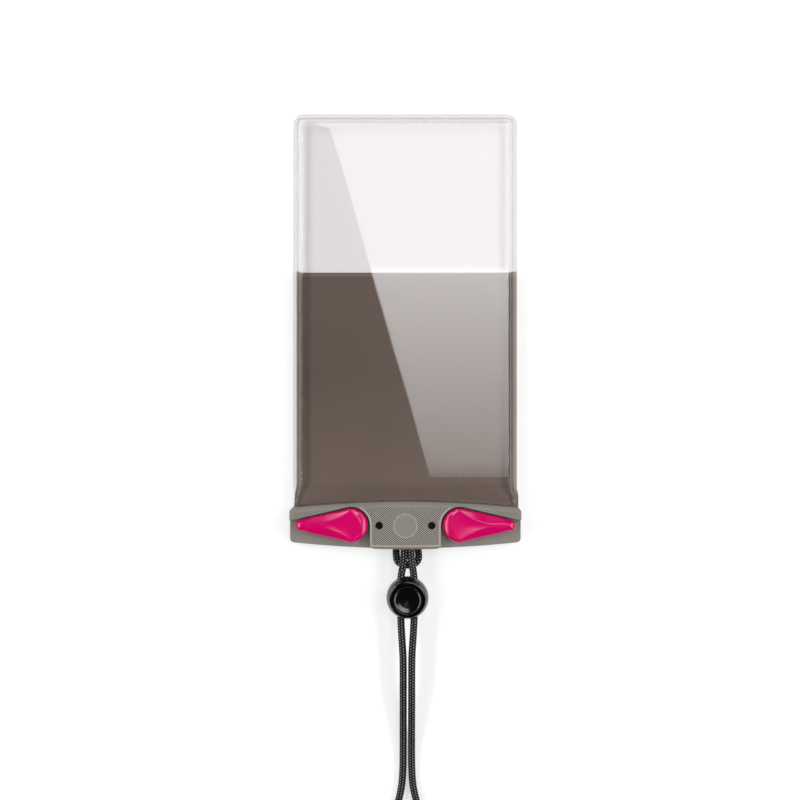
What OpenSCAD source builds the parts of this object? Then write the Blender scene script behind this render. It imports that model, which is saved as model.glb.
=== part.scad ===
// Clear waterproof pouch closed by a two-lever clamp, with a neck cord and a ball cord lock.
// It lies on its back: +Z looks out of the clear front, +Y points to the closed end of the pouch.
// The origin is under the middle of the pouch and clamp together. Lengths are in millimetres.

/* [Pouch] */
// Width of the pouch over its welded edge
pouch_w = 105.5; // [96:0.5:116]
// Length of the pouch above the middle of the clamp
pouch_l = 182.1; // [150:0.1:220]
// Thickness of the filled pouch
pouch_h = 11.5; // [10.5:0.5:14]
// Outer radius of the two closed corners
pouch_r = 5; // [4:0.5:10]
// Diameter of the rounded bead along the weld
rim_d = 2.3; // [1.6:0.1:2.6]
// Thickness of each sheet
film_t = 0.5; // [0.3:0.05:0.7]
// Distance from the weld over which the sheets swell to their full height
swell = 9.5; // [7:0.5:10]
// Length over which the sheets come together above the clamp
taper = 8.5; // [7:0.5:14]
// Length of the grey back panel above the middle of the clamp
panel_l = 108; // [60:0.5:130]
// Width of the lap weld between the back panel and the back window
lap = 1.8; // [1:0.2:4]

/* [Clamp] */
// How far the clamp stands out past each side of the pouch
clamp_over = 1.25; // [1.25:0.25:4]
// Height of the clamp at its middle
clamp_h = 22; // [21.5:0.1:28]
// How much the long edges bow outwards between the ends and the middle
bow = 3; // [1.5:0.25:4]
// Radius of the clamp's four corners in front view
corner_r = 2; // [1:0.25:3]
// Thickness of the rear jaw
rear_t = 5; // [4.8:0.2:7]
// Thickness of the front jaw's plate behind the levers
plate_t = 2.95; // [2.5:0.05:4]
// Height of the ribbed sections above that plate
relief = 5; // [4.5:0.25:7]
// Radius of the lower corners of the middle section
foot_r = 2; // [1:0.25:3]
// Width of the chamfer round the front face
face_edge = 1.2; // [0.6:0.1:1.6]
// Spacing of the diagonal ribs, square to them
rib_pitch = 0.785; // [0.75:0.005:1.2]
// Depth of the grooves between the ribs
rib_depth = 0.3; // [0.15:0.05:0.5]
// Radius of the smooth round pad in the middle of the ribs
pad_r = 5.6; // [4:0.2:6]
// Width of the pressed seal strips
seal_w = 3; // [2:0.25:3.5]
// Depth of the pressed seal strips
seal_t = 1.4; // [1:0.1:1.6]
// How far the sheets reach into the clamp
mouth = 5.5; // [5:0.1:6]

/* [Levers] */
// Radius of the round end over the pivot
lever_r = 7.85; // [7:0.05:8.5]
// Radius of the tip
tip_r = 2.6; // [2:0.1:3.5]
// Distance from the pivot to the middle of the tip
lever_l = 23.3; // [18:0.1:24]
// Distance from the tip to the end of the clamp
tip_inset = 2.9; // [2:0.1:5]
// Distance of the pivots below the clamp's upper edge
pivot_drop = 10.8; // [10.7:0.1:12]
// Thickness of a lever
lever_t = 5.7; // [4.5:0.1:7]
// Gap round a lever in the front face
lever_gap = 0.9; // [0.5:0.1:1.5]
// Depth of the finger dish in a lever
dish = 0.7; // [0.3:0.1:1.2]
// Quarter-turn angle of a lever
lever_turn = 90; // [90]
// How far the jaws part as the levers turn
jaw_lift = 1.6; // [1:0.1:1.6]

/* [Cam posts] */
// Radius of a post
post_r = 2.4; // [2:0.1:2.6]
// Radial clearance of a post in its bore
post_fit = 0.05; // [0.02:0.01:0.1]
// Reach of a post's two cam arms
cam_r = 5.5; // [5:0.1:6]
// Half angle of a cam arm
cam_half = 20; // [12:1:24]
// Thickness of the cam arms at their middle
cam_t = 1.5; // [1.3:0.1:1.6]
// Clearance between the cam arms and their ramps
cam_fit = 0.08; // [0.05:0.01:0.15]

/* [Cord] */
// Diameter of the braided cord
cord_d = 3.5; // [3:0.1:3.8]
// Half the spacing of the two strands
strand_x = 3.2; // [3:0.1:3.4]
// Sideways place of the cord from the middle of the clamp
cord_x = 1; // [0:0.25:1.5]
// Radius of the wire-like bail that the cord hangs from
bail_r = 1.6; // [1.4:0.05:1.7]
// Radius of the two split pegs of the bail
peg_r = 1.55; // [1.3:0.05:1.7]
// Distance of the pegs from the middle of the clamp
peg_x = 12.25; // [11.5:0.25:12.5]

/* [Cord lock] */
// Radius of the ball-shaped body
ball_r = 9.9; // [9.5:0.1:11]
// Radius of its rim
rim_r = 8.6; // [8.2:0.1:9]
// Radius of the push button
button_r = 6.4; // [6:0.1:6.6]
// Radial clearance of the button in the body
button_fit = 0.1; // [0.05:0.01:0.2]
// Travel of the button
press = 3; // [2:0.25:3]
// Distance of the cord lock from the clamp's lower edge
lock_drop = 22.9; // [21.5:0.1:40]

/* [Hidden] */
$fn = 64;

clamp_w = pouch_w + 2 * clamp_over;
half_l = (pouch_l + clamp_h) / 2;
clamp_y = half_l - pouch_l;
foot_y = -half_l;
weld_z = rear_t + film_t;
seat_gap = 0.05;
jaw_z = rear_t + 2 * film_t + seat_gap;
plate_z = jaw_z + plate_t;
face_z = plate_z + relief;
bow_r = (pow(clamp_w / 2, 2) + bow * bow) / (2 * bow);
pivot_x = clamp_w / 2 - tip_inset - tip_r - lever_l;
pivot_y = clamp_y - pivot_drop;
lever_z = plate_z + 0.3;
slant = asin((lever_r - tip_r) / lever_l);
rib_x = pivot_x - 1;
pin_x = min(peg_x, pivot_x - lever_r - lever_gap - peg_r - 0.6);
bail_y = foot_y + 3.8;
bail_z = weld_z;
cord_r = cord_d / 2;
lock_y = foot_y - lock_drop;
strand_z = 9.9;
lock_z = strand_z;
slip = 0.2;
half_in = pouch_w / 2 - rim_d;
top_in = half_l - rim_d;
panel_y = clamp_y + panel_l;
swell_power = 2.4;

// Points of an arc in n steps
function arc(c, r, a0, a1, n) = [for (i = [0 : n]) let (a = a0 + (a1 - a0) * i / n) c + r * [cos(a), sin(a)]];
// How far the clamp's bowed edge has dropped at x
function drop(x) = x * x / (2 * bow_r);
function unit(v) = v / norm(v);
function smooth(s) = s <= 0 ? 0 : s >= 1 ? 1 : s * s * (3 - 2 * s);

// Clamp outline: two long bowed edges and four corner arcs, all tangent, moved in by inset
function upper_edge(w, y, r, c) =
    let (cx = w - c, cy = y - r + sqrt(pow(r - c, 2) - cx * cx), a = atan2(cy - y + r, cx))
    concat(arc([cx, cy], c, 0, a, 5), arc([0, y - r], r, a, 180 - a, 24), arc([-cx, cy], c, 180 - a, 180, 5));
module clamp_outline(inset = 0) {
    mid = (clamp_y + foot_y) / 2;
    top = upper_edge(clamp_w / 2 - inset, clamp_y - inset, bow_r - inset, corner_r - inset / 2);
    polygon(concat(top, [for (i = [len(top) - 1 : -1 : 0]) [top[i][0], 2 * mid - top[i][1]]]));
}

// Strip that follows the clamp's upper edge, from depth d0 to depth d1 below it
module bowed_strip(half, d0, d1) {
    xs = [for (i = [-12 : 12]) half * i / 12];
    polygon(concat(
        [for (x = xs) [x, clamp_y - d0 - drop(x)]],
        [for (i = [len(xs) - 1 : -1 : 0]) [xs[i], clamp_y - d1 - drop(xs[i])]]));
}

// Lever outline: a round end on the pivot and a small tip, joined by their common tangents
function lever_points(grow) =
    let (r = lever_r + grow, t = tip_r + grow)
    concat(arc([0, 0], r, 90 - slant, 270 + slant, 24), arc([lever_l, 0], t, slant - 90, 90 - slant, 10));

// Everything right of the middle section that lies lower than the front face, moved out by grow
module lever_bay(grow = 0) {
    r = lever_r + lever_gap + grow;
    edge = pivot_x - r;
    out = clamp_w / 2 + 3;
    line = pivot_y + (r - (out - pivot_x) * sin(slant)) / cos(slant);
    low = foot_y - 3;
    polygon(concat(
        [[edge - foot_r, low]],
        arc([edge - foot_r, foot_y + foot_r + drop(edge) + grow], foot_r, -90, 0, 6),
        arc([pivot_x, pivot_y], r, 180, 90 - slant, 16),
        [[out, line], [out, low]]));
}

// Grooves between the ribs of the front face, from x0 to x1; they rise to the right at the angle lean
module rib_grooves(x0, x1, lean, border) {
    count = ceil(clamp_w / 3 / rib_pitch);
    middle = [(x0 + x1) / 2, (clamp_y + foot_y) / 2];
    intersection() {
        difference() {
            intersection() {
                clamp_outline(face_edge + 0.7);
                bowed_strip(clamp_w / 2, 2.1, clamp_h);
                translate([x0, foot_y]) square([x1 - x0, clamp_h]);
            }
            both_sides() lever_bay(border);
            translate([0, middle[1]]) circle(r = pad_r);
        }
        translate(middle) rotate(lean) for (i = [-count : count])
            translate([-clamp_w / 3, (i - 0.23) * rib_pitch]) square([clamp_w / 1.5, 0.46 * rib_pitch]);
    }
}

module both_sides() {
    children();
    mirror([1, 0, 0]) children();
}

// Wedge whose top is a screw surface, between angles a0 and a1, rising with the angle
module screw_wedge(r0, r1, a0, a1, low, top, rise, n) {
    p = [for (i = [0 : n]) let (a = a0 + (a1 - a0) * i / n, c = cos(a), s = sin(a), z = top + rise * a)
        each [[r0 * c, r0 * s, low], [r1 * c, r1 * s, low], [r1 * c, r1 * s, z], [r0 * c, r0 * s, z]]];
    sides = [for (i = [0 : n - 1], k = [0 : 3]) let (a = 4 * i + k, b = 4 * i + (k + 1) % 4)
        each [[a, b, a + 4], [b, b + 4, a + 4]]];
    polyhedron(p, concat([[0, 2, 1], [0, 3, 2]], sides, [[4 * n, 4 * n + 2, 4 * n + 3], [4 * n, 4 * n + 1, 4 * n + 2]]));
}

// Two cam arms on opposite sides of a post, with the post's turn measured from the arm's rest
module cam_arms(r0, r1, a0, a1, low, top, n) {
    for (k = [0, 180]) rotate([0, 0, 90 + k]) screw_wedge(r0, r1, a0, a1, low, top, jaw_lift / lever_turn, n);
}

// Tube along a path: each ring is carried from the last one without twisting
function along(p, i) = unit(p[min(i + 1, len(p) - 1)] - p[max(i - 1, 0)]);
function carried(p, i, u) =
    i == len(p) ? [] : let (t = along(p, i), v = unit(u - t * (u * t))) concat([v], carried(p, i + 1, v));
module tube(p, r, sides, start) {
    up = carried(p, 0, start);
    pts = [for (i = [0 : len(p) - 1]) let (u = up[i], w = cross(along(p, i), u))
        for (k = [0 : sides - 1]) let (a = 360 * (k + 0.5) / sides) p[i] + r * (u * cos(a) + w * sin(a))];
    last = (len(p) - 1) * sides;
    wall = [for (i = [0 : len(p) - 2], k = [0 : sides - 1]) let (a = i * sides + k, b = i * sides + (k + 1) % sides)
        each [[a, b, a + sides], [b, b + sides, a + sides]]];
    polyhedron(pts, concat([[for (k = [sides - 1 : -1 : 0]) k]], wall, [[for (k = [0 : sides - 1]) last + k]]));
}

// Catmull-Rom curve through hand-chosen points, n pieces for each span
function curve_at(p, i, t) =
    let (a = p[max(i - 1, 0)], b = p[i], c = p[i + 1], d = p[min(i + 2, len(p) - 1)])
    0.5 * (2 * b + (c - a) * t + (2 * a - 5 * b + 4 * c - d) * t * t + (3 * b - a - 3 * c + d) * pow(t, 3));
function curve(p, n) =
    concat([for (i = [0 : len(p) - 2], k = [0 : n - 1]) curve_at(p, i, k / n)], [p[len(p) - 1]]);

// Pouch sheets. A row is [y, share of the closed end's swell, share of the full height, inset];
// a column is [side, share of the side's swell].
edge_steps = [0, 0.012, 0.05, 0.13, 0.26, 0.45, 0.7, 1];
columns = concat(
    [for (f = edge_steps) [-1, f]],
    [[0, 1]],
    [for (i = [len(edge_steps) - 1 : -1 : 0]) [1, edge_steps[i]]]);
function bulge(f) = pow(max(0, 1 - pow(1 - f, swell_power)), 1 / swell_power);
function top_rows(end) = [for (g = edge_steps) [end - g * swell, g, 1, 0]];
function mouth_rows() = concat(
    [for (s = [0 : 0.125 : 1]) [clamp_y + 0.4 + taper * (1 - s), 1, smooth(1 - s), 0]],
    [[clamp_y - mouth, 1, 0, 0]]);
// One point of a sheet; skin is 0 on its outer face and film_t on its inner face
function sheet_point(row, col, half, up, full, skin) =
    let (x = col[0] * (half - row[3] - skin - col[1] * (swell - skin)),
         h = (film_t - skin) + (full - film_t) * row[2] - row[3])
    [x, row[0] - skin * (1 - row[1]) - drop(x) * (1 - row[2]), weld_z + up * h * bulge(col[1]) * bulge(row[1])];
module sheet(rows, half, up, full) {
    m = len(columns);
    n = len(rows);
    pts = [for (skin = [0, film_t], r = rows, c = columns) sheet_point(r, c, half, up, full, skin)];
    // One quad as two triangles, wound for a sheet that swells up or down
    function quad(a, b, c, d) = up > 0 ? [[a, b, c], [a, c, d]] : [[a, c, b], [a, d, c]];
    faces = [for (i = [0 : n - 2], j = [0 : m - 2]) let (a = i * m + j, k = a + m * n)
        each concat(quad(a, a + 1, a + m + 1, a + m), quad(k, k + m, k + m + 1, k + 1))];
    ends = [for (j = [0 : m - 2]) let (a = j, b = (n - 1) * m + j, k = m * n)
        each concat(quad(a, a + k, a + k + 1, a + 1), quad(b, b + 1, b + k + 1, b + k))];
    sides = [for (i = [0 : n - 2]) let (a = i * m, b = a + m - 1, k = m * n)
        each concat(quad(a, a + m, a + m + k, a + k), quad(b, b + k, b + m + k, b + m))];
    polyhedron(pts, concat(faces, ends, sides));
}

// Rounded bead along the weld: two straight sides, the closed end and the two corner arcs
module weld_bead() {
    r = rim_d / 2;
    x = pouch_w / 2 - r;
    low = clamp_y + 1 + r;
    bend = pouch_r - r;
    both_sides() {
        translate([x, low, weld_z]) rotate([-90, 0, 0]) cylinder(r = r, h = half_l - pouch_r - low);
        translate([x, low, weld_z]) sphere(r = r);
        translate([x - bend, half_l - pouch_r, weld_z]) rotate_extrude(angle = 90) translate([bend, 0]) circle(r = r);
    }
    translate([bend - x, half_l - r, weld_z]) rotate([0, 90, 0]) cylinder(r = r, h = 2 * (x - bend));
}
module front_film() {
    rows = concat(top_rows(top_in + 0.3), mouth_rows());
    color([0.93, 0.93, 0.94, 0.4]) {
        sheet(rows, half_in + 0.3, 1, pouch_h - weld_z);
        weld_bead();
    }
}

// Clear back sheet behind the top of the pouch; its lower edge is lapped inside the panel's
module back_window() {
    y = panel_y - lap;
    rows = concat(top_rows(top_in - 0.05), [[panel_y + 0.9, 1, 1, 0], [panel_y + 0.1, 1, 1, film_t], [y, 1, 1, film_t]]);
    color([0.9, 0.9, 0.91, 0.5]) sheet(rows, half_in - 0.05, -1, weld_z);
}
module back_panel() {
    color([0.49, 0.45, 0.41]) sheet(concat([[panel_y, 1, 1, 0]], mouth_rows()), half_in - 0.05, -1, weld_z);
}

// Bail: a round bar across the cord pocket, two arms and two upright split pegs
module bail_shape(grow = 0) {
    r = bail_r + grow;
    translate([-pin_x, bail_y, bail_z]) rotate([0, 90, 0]) cylinder(r = r, h = 2 * pin_x);
    both_sides() {
        translate([pin_x, bail_y, bail_z]) sphere(r = r);
        translate([pin_x, bail_y, bail_z]) rotate([-90, 0, 0]) cylinder(r = r, h = pivot_y - bail_y);
    }
}
module lanyard_bail() {
    foot = 1.8;
    color([0.05, 0.05, 0.05]) {
        bail_shape();
        both_sides() difference() {
            translate([pin_x, pivot_y, foot]) cylinder(r = peg_r, h = face_z - foot + 0.1);
            for (k = [-0.55, 0.55]) translate([pin_x + k - 0.18, pivot_y - 3, face_z - 3]) cube([0.36, 6, 4]);
        }
    }
}

// Space behind the middle section where the cord goes round the bail
module cord_pocket(low, high) {
    w = 2 * (strand_x + cord_r + 2.6);
    translate([cord_x - w / 2, foot_y - 2, low]) cube([w, 11.6, high - low]);
}

module rear_jaw() {
    color([0.44, 0.43, 0.4]) difference() {
        hull() {
            translate([0, 0, 0.8]) linear_extrude(rear_t - 0.8) clamp_outline();
            linear_extrude(1) clamp_outline(0.8);
        }
        translate([0, 0, rear_t - seal_t]) linear_extrude(seal_t + 1) bowed_strip(clamp_w / 2 - 3, 1, 1 + seal_w);
        bail_shape(seat_gap);
        cord_pocket(-1, rear_t + 1);
        both_sides() {
            translate([pin_x, pivot_y, 1.8]) cylinder(r = peg_r, h = rear_t);
            translate([-pivot_x, pivot_y, 0]) {
                translate([0, 0, -1]) cylinder(r = cam_r + 0.5, h = 2.9);
                translate([0, 0, -1]) cylinder(r = post_r + 0.6, h = rear_t + 2);
                cam_arms(1, cam_r + 0.8, -cam_half - 4, 90, -1, 2.5 + cam_fit, 12);
                translate([0, 0, -1]) intersection() {
                    cylinder(r = cam_r + 0.5, h = rear_t + 2);
                    translate([-cam_r - 1, -post_r - 0.35, 0]) cube([2 * cam_r + 2, 2 * post_r + 0.7, rear_t + 2]);
                }
            }
        }
    }
}

module front_jaw() {
    color([0.51, 0.5, 0.47]) difference() {
        intersection() {
            hull() {
                translate([0, 0, jaw_z]) linear_extrude(face_z - jaw_z - face_edge) clamp_outline();
                translate([0, 0, face_z - 1]) linear_extrude(1) clamp_outline(face_edge);
            }
            union() {
                translate([0, 0, jaw_z - 1]) linear_extrude(plate_t + 1) clamp_outline(-1);
                translate([0, 0, plate_z - 1]) linear_extrude(relief + 2) difference() {
                    clamp_outline(-1);
                    both_sides() lever_bay();
                }
            }
        }
        translate([0, 0, jaw_z - 1]) linear_extrude(seal_t + 1) bowed_strip(clamp_w / 2 - 3, 1, 1 + seal_w);
        bail_shape(0.1);
        cord_pocket(jaw_z - 1, face_z - 1.6);
        both_sides() {
            translate([pin_x, pivot_y, jaw_z - 1]) cylinder(r = peg_r + 0.25, h = face_z);
            translate([pivot_x, pivot_y, jaw_z - 1]) cylinder(r = post_r + post_fit, h = plate_t + 2);
            translate([pivot_x, pivot_y, jaw_z - 1]) cylinder(r = post_r + 2.05, h = 1.9);
        }
        translate([0, 0, face_z - rib_depth]) linear_extrude(rib_depth + 1) {
            rib_grooves(-rib_x, rib_x, 40, 0.9);
            both_sides() rib_grooves(rib_x + 0.4, clamp_w / 2, 40, 0.5);
        }
    }
}

module rear_seal() {
    color([0.2, 0.2, 0.2]) translate([0, 0, rear_t - seal_t]) linear_extrude(seal_t)
        bowed_strip(clamp_w / 2 - 3.05, 1.05, 0.95 + seal_w);
}
module front_seal() {
    color([0.2, 0.2, 0.2]) translate([0, 0, jaw_z]) linear_extrude(seal_t - 0.05)
        bowed_strip(clamp_w / 2 - 3.05, 1.05, 0.95 + seal_w);
}

// Right lever about its own pivot: rounded body, thrust boss, finger dish and the post's hexagon
socket_r = 2.9;
module lever_shape() {
    difference() {
        union() {
            hull() {
                linear_extrude(lever_t - 2.2) polygon(lever_points(0));
                translate([0, 0, 1]) linear_extrude(lever_t - 1.8) polygon(lever_points(-0.5));
                translate([0, 0, 2]) linear_extrude(lever_t - 2) polygon(lever_points(-1.6));
            }
            translate([0, 0, -0.25]) cylinder(r = 5.5, h = 1);
        }
        translate([2, 0, lever_t + 40 - dish]) sphere(r = 40, $fn = 96);
        translate([0, 0, -1]) cylinder(r = socket_r + 0.05, h = lever_t - 1.4, $fn = 6);
    }
}
module lever_right() {
    color([0.84, 0, 0.43]) translate([pivot_x, pivot_y, lever_z]) lever_shape();
}
module lever_left() {
    color([0.84, 0, 0.43]) mirror([1, 0, 0]) translate([pivot_x, pivot_y, lever_z]) lever_shape();
}

// Left cam post: screw-faced arms under the rear jaw, shaft, thrust collar and hexagon
module cam_post_shape() {
    low = 2.5 - cam_t;
    cam_arms(1, cam_r, -cam_half, cam_half, low, 2.5, 6);
    translate([0, 0, low]) cylinder(r = post_r, h = plate_z + 0.1 - low);
    translate([0, 0, jaw_z + 0.05]) cylinder(r = post_r + 1.9, h = 0.8);
    translate([0, 0, plate_z]) cylinder(r = socket_r, h = lever_t - 2.2, $fn = 6);
}
module cam_post_left() {
    color([0.07, 0.07, 0.07]) translate([-pivot_x, pivot_y, 0]) cam_post_shape();
}
module cam_post_right() {
    color([0.07, 0.07, 0.07]) mirror([1, 0, 0]) translate([-pivot_x, pivot_y, 0]) cam_post_shape();
}

// Cord: hitch round the bail, two strands through the cord lock, and the spare length in a hank
hitch_route = [
    [-1.5, -112, 9.9], [-1.3, -109, 9.9], [-1.2, -104, 9.6], [-1.3, -99.5, 9.1], [-1.6, -95.3, 7.8],
    [-2, -94.5, 4.6], [-2.9, -97.6, 2], [-4.2, -101.2, 2.4], [-4.6, -105.5, 4.4], [-3.3, -108.8, 5.9],
    [0, -110, 6.2], [3.4, -110, 6.2], [5.9, -108, 5.8], [6.2, -105, 4.4], [5.4, -101.4, 2.4],
    [4.7, -97.6, 2], [4, -94.5, 4.6], [3.6, -95.3, 7.8], [3.3, -99.5, 9.1], [3.2, -104, 9.6],
    [3.3, -109, 9.9], [3.6, -112, 9.9],
];
left_route = [
    [-1.5, -112, 9.9], [-2.2, -117, 9.9], [-2.3, -124.9, 9.9], [-2.2, -132, 9.9], [-1.8, -141, 9.9],
    [-1.1, -152, 9.9], [-1, -162, 9.9], [-1, -172, 8.8], [-1, -184, 5.6], [-1, -196, 2.9],
    [-1.1, -207, 1.8], [-1.8, -216, 1.8], [-4.2, -225.5, 1.8], [-9.5, -235, 2.1], [-14.3, -242, 2.6],
];
right_route = [
    [3.6, -112, 9.9], [4.2, -117, 9.9], [4.3, -124.9, 9.9], [4.2, -132, 9.9], [3.8, -141, 9.9],
    [3.1, -152, 9.9], [3, -162, 9.9], [3, -172, 8.8], [3, -184, 5.6], [3, -196, 2.9],
    [3.1, -207, 1.8], [3.8, -216, 1.8], [6.1, -225, 2.6], [9.4, -232.5, 4.4], [12.1, -238.2, 5.8],
];
module cord_hitch() {
    color([0.06, 0.06, 0.06]) tube(curve(hitch_route, 2), cord_r, 8, [1, 0, 0]);
}
module cord_left() {
    color([0.06, 0.06, 0.06]) tube(curve(left_route, 2), cord_r, 8, [1, 0, 0]);
}
module cord_right() {
    color([0.06, 0.06, 0.06]) tube(curve(right_route, 2), cord_r, 8, [1, 0, 0]);
}
hank_r = 19.3;
hank_run = 52;
hank_y = -256;
hank_z = 0.9;
hank_h = 6.8;
module cord_hank() {
    top = arc([cord_x, hank_y], hank_r, 0, 180, 20);
    low = arc([cord_x, hank_y - hank_run], hank_r, 180, 360, 20);
    color([0.06, 0.06, 0.06]) translate([0, 0, hank_z]) linear_extrude(hank_h) polygon(concat(top, low));
}
module hank_strap() {
    t = 0.8;
    w = hank_r + 0.05;
    color([0.1, 0.1, 0.1]) translate([cord_x, hank_y - hank_run / 2, hank_z - 0.05]) rotate([90, 0, 0])
        translate([0, 0, -5]) linear_extrude(10) difference() {
            translate([-w - t, -t]) square([2 * (w + t), hank_h + 0.1 + 2 * t]);
            translate([-w, 0]) square([2 * w, hank_h + 0.1]);
        }
}

// Cord lock: a ball with a rim, bored for the button; strands cross both through flat-sided slots
button_low = lock_z - cord_r - 1.55;
button_top = lock_z + 8.9;
spring_seat = 1.6;
spring_r = 4.2;
module cord_slot(low, high, r) {
    w = strand_x + cord_r + slip - r;
    translate([cord_x, lock_y, 0]) rotate([90, 0, 0]) translate([0, 0, -15]) linear_extrude(30) polygon(concat(
        arc([w, low + r], r, -90, 0, 5), arc([w, high - r], r, 0, 90, 5),
        arc([-w, high - r], r, 90, 180, 5), arc([-w, low + r], r, 180, 270, 5)));
}
module lock_body() {
    rim_a = acos(rim_r / ball_r);
    low_a = asin(min(1, (lock_z - 0.34) / ball_r));
    top = lock_z + ball_r * sin(rim_a) + 1.9;
    bore = button_r + button_fit;
    stop = button_low - press - 0.2;
    color([0.04, 0.04, 0.04]) difference() {
        translate([cord_x, lock_y, 0]) rotate_extrude() polygon(concat(
            [[0, lock_z - ball_r * sin(low_a)]],
            arc([0, lock_z], ball_r, 0.1 - low_a, rim_a, 24),
            arc([rim_r - 0.7, top - 0.7], 0.7, 0, 90, 5),
            arc([bore + 0.5, top - 0.5], 0.5, 90, 180, 3),
            [[bore, stop], [spring_r + 0.45, stop], [spring_r + 0.45, spring_seat], [0, spring_seat]]));
        cord_slot(lock_z - cord_r - slip, lock_z + cord_r + slip, cord_r + slip - 0.3);
    }
}
module lock_button() {
    color([0.03, 0.03, 0.03]) difference() {
        translate([cord_x, lock_y, 0]) rotate_extrude() polygon(concat(
            [[0, button_low], [button_r, button_low]],
            arc([button_r - 1, button_top - 1], 1, 0, 75, 5),
            [[button_r - 2.6, button_top - 0.45], [0, button_top - 0.75]]));
        cord_slot(lock_z - cord_r - 0.1, lock_z + cord_r + press + 0.3, 0.6);
    }
}
module lock_spring() {
    wire = 0.25;
    coils = 3.5;
    low = spring_seat + wire;
    high = button_low - wire;
    path = [for (i = [0 : 49]) let (a = 360 * coils * i / 49)
        [spring_r * cos(a), spring_r * sin(a), low + (high - low) * i / 49]];
    color([0.7, 0.7, 0.72]) translate([cord_x, lock_y, 0]) tube(path, wire, 6, [1, 0, 0]);
}

front_film();
back_window();
back_panel();
rear_jaw();
front_jaw();
rear_seal();
front_seal();
lever_left();
lever_right();
cam_post_left();
cam_post_right();
lanyard_bail();
cord_hitch();
cord_left();
cord_right();
cord_hank();
hank_strap();
lock_body();
lock_button();
lock_spring();
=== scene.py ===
import bpy
import numpy as np
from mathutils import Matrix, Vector


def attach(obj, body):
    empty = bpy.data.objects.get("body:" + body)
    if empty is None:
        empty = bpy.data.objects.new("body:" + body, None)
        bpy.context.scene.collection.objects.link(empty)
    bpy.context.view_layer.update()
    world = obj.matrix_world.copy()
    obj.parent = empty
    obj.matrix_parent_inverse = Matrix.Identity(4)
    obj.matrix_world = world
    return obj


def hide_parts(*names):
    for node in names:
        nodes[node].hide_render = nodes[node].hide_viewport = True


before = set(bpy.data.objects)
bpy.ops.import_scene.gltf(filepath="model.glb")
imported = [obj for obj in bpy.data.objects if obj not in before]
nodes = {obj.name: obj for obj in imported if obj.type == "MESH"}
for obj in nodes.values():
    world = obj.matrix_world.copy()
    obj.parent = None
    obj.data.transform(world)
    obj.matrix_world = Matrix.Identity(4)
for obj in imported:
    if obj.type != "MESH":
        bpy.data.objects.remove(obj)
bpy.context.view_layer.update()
mm = 0.001
print("frame loaded:", len(nodes), "nodes")

# Camera straight above the case: the picture's width covers `across` at the height `plane`
shot = {"across": 374.4, "centre": (-2.5, -32.55), "plane": 9.5, "height": 600.0, "sensor": 36.0}


def makeCamera():
    data = bpy.data.cameras.new("camera")
    data.sensor_width = shot["sensor"]
    data.lens = shot["sensor"] * (shot["height"] - shot["plane"]) / shot["across"]
    camera = bpy.data.objects.new("camera", data)
    camera.location = (shot["centre"][0] * mm, shot["centre"][1] * mm, shot["height"] * mm)
    bpy.context.scene.collection.objects.link(camera)
    bpy.context.scene.camera = camera


makeCamera()
bpy.context.scene.view_settings.view_transform = "Standard"


# Node trees
def newMaterial(name):
    material = bpy.data.materials.new(name)
    material.use_nodes = True
    material.node_tree.nodes.clear()
    return material, material.node_tree.nodes, material.node_tree.links


def addNode(nodeSet, kind, values=None, **settings):
    made = nodeSet.new(kind)
    for key, value in settings.items():
        setattr(made, key, value)
    for key, value in (values or {}).items():
        made.inputs[key].default_value = value
    return made


def ramp(nodeSet, stops, mode="LINEAR"):
    made = nodeSet.new("ShaderNodeValToRGB")
    made.color_ramp.interpolation = mode
    while len(made.color_ramp.elements) < len(stops):
        made.color_ramp.elements.new(0.5)
    for element, (place, colour) in zip(made.color_ramp.elements, stops):
        element.position = place
        element.color = (*colour, 1.0)
    return made


def shade(value):
    return (value, value, value)


def moulded(name, colour, dark, light, roughness, grain, grainSize, specular=0.5, coat=0.0, coatRoughness=0.1):
    """Moulded plastic: slow colour drift, fine grain in bump and roughness."""
    material, n, l = newMaterial(name)
    where = addNode(n, "ShaderNodeTexCoord")
    drift = addNode(n, "ShaderNodeTexNoise", {"Scale": 60.0, "Detail": 4.0, "Roughness": 0.6})
    fine = addNode(n, "ShaderNodeTexNoise", {"Scale": grainSize, "Detail": 3.0, "Roughness": 0.7})
    tone = ramp(n, [(0.25, [c * dark for c in colour]), (0.75, [min(1.0, c * light) for c in colour])])
    rough = addNode(n, "ShaderNodeMapRange", {"To Min": roughness * 0.85, "To Max": roughness * 1.15})
    bump = addNode(n, "ShaderNodeBump", {"Strength": grain, "Distance": 0.00006})
    surface = addNode(n, "ShaderNodeBsdfPrincipled", {
        "Specular IOR Level": specular, "Coat Weight": coat, "Coat Roughness": coatRoughness})
    out = addNode(n, "ShaderNodeOutputMaterial")
    for texture in (drift, fine):
        l.new(where.outputs["Object"], texture.inputs["Vector"])
    l.new(drift.outputs["Fac"], tone.inputs["Fac"])
    l.new(fine.outputs["Fac"], rough.inputs["Value"])
    l.new(fine.outputs["Fac"], bump.inputs["Height"])
    l.new(tone.outputs["Color"], surface.inputs["Base Color"])
    l.new(rough.outputs["Result"], surface.inputs["Roughness"])
    l.new(bump.outputs["Normal"], surface.inputs["Normal"])
    l.new(surface.outputs["BSDF"], out.inputs["Surface"])
    return material


# Math node on sockets or plain numbers
def math(nodeSet, links, operation, first, second=0.0):
    made = nodeSet.new("ShaderNodeMath")
    made.operation = operation
    for slot, value in enumerate((first, second)):
        if isinstance(value, (int, float)):
            made.inputs[slot].default_value = value
        else:
            links.new(value, made.inputs[slot])
    return made.outputs[0]


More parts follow.
